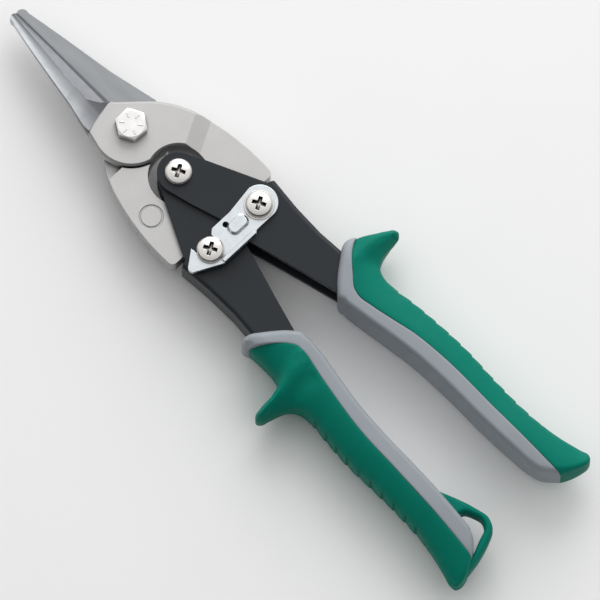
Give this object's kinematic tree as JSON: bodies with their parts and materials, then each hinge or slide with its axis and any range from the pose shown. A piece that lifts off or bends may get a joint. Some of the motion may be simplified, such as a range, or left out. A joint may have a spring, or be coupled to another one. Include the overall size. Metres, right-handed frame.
{
  "type": "aviation snips",
  "caption": "Hand shears for sheet metal: two pinned blades worked by crossed handles through a compound linkage, with soft grips and a swing latch.",
  "frame": {"origin": "centre of the pivot nut's outer face, on the main pivot's axis; the snips lie on this face and on the backs of both grips", "axes": "+X runs from the blades to the grips, +Y to the upper handle, which carries the latch, and +Z to the side with the bolt head"},
  "size_m": [0.2517, 0.0818, 0.0247],
  "materials": {
    "blade_steel": "ground and satin forged steel",
    "bright_plated_steel": "bright zinc plating",
    "black_enamel": "satin black enamel",
    "nickel_screw": "nickel plating",
    "zinc_latch": "satin zinc plating",
    "spring_steel": "oiled spring wire",
    "grip_grey": "moulded grey plastic",
    "grip_green": "matt soft overmoulding"
  },
  "bodies": {
    "front_blade": {"front_blade": "blade_steel", "pivot_bolt": "bright_plated_steel", "pivot_washer": "bright_plated_steel", "pivot_nut": "bright_plated_steel"},
    "rear_blade": {"rear_blade": "blade_steel"},
    "upper_handle": {"upper_handle": "black_enamel", "handle_pivot_screw": "nickel_screw", "handle_pivot_nut": "nickel_screw", "handle_pivot_sleeve": "nickel_screw", "upper_tang_screw": "nickel_screw", "upper_tang_nut": "nickel_screw", "upper_tang_washer": "nickel_screw", "latch_spring_washer": "nickel_screw", "return_spring": "spring_steel", "upper_grip_core": "grip_grey", "upper_grip_cover": "grip_green"},
    "lower_handle": {"lower_handle": "black_enamel", "lower_tang_screw": "nickel_screw", "lower_tang_nut": "nickel_screw", "lower_tang_washer": "nickel_screw", "latch_catch": "nickel_screw", "lower_grip_core": "grip_grey", "lower_grip_cover": "grip_green"},
    "latch": {"latch": "zinc_latch"}
  },
  "joints": [
    {"name": "jaw_pivot", "type": "hinge", "parent": "front_blade", "child": "rear_blade", "pos_m": [0, 0, 0.012], "axis": [0, 0, -1], "range_deg": [0, 18]},
    {"name": "upper_tang_pivot", "type": "hinge", "parent": "front_blade", "child": "upper_handle", "pos_m": [0.0512, 0.0115, 0.012], "axis": [0, 0, 1], "range_deg": [0, 8.4]},
    {"name": "handle_pivot", "type": "hinge", "parent": "upper_handle", "child": "lower_handle", "pos_m": [0.0234, 0, 0.012], "axis": [0, 0, -1], "range_deg": [0, 34.7]},
    {"name": "latch_pivot", "type": "hinge", "parent": "upper_handle", "child": "latch", "pos_m": [0.0512, 0.0115, 0.012], "axis": [0, 0, 1], "range_deg": [0, 90]}
  ],
  "couplings": [
    {"joint": "jaw_pivot", "follows": "handle_pivot", "ratio": 0.5176},
    {"joint": "upper_tang_pivot", "follows": "handle_pivot", "ratio": 0.2412},
    {"joint": "latch_pivot", "follows": "handle_pivot", "ratio": 2.58}
  ]
}
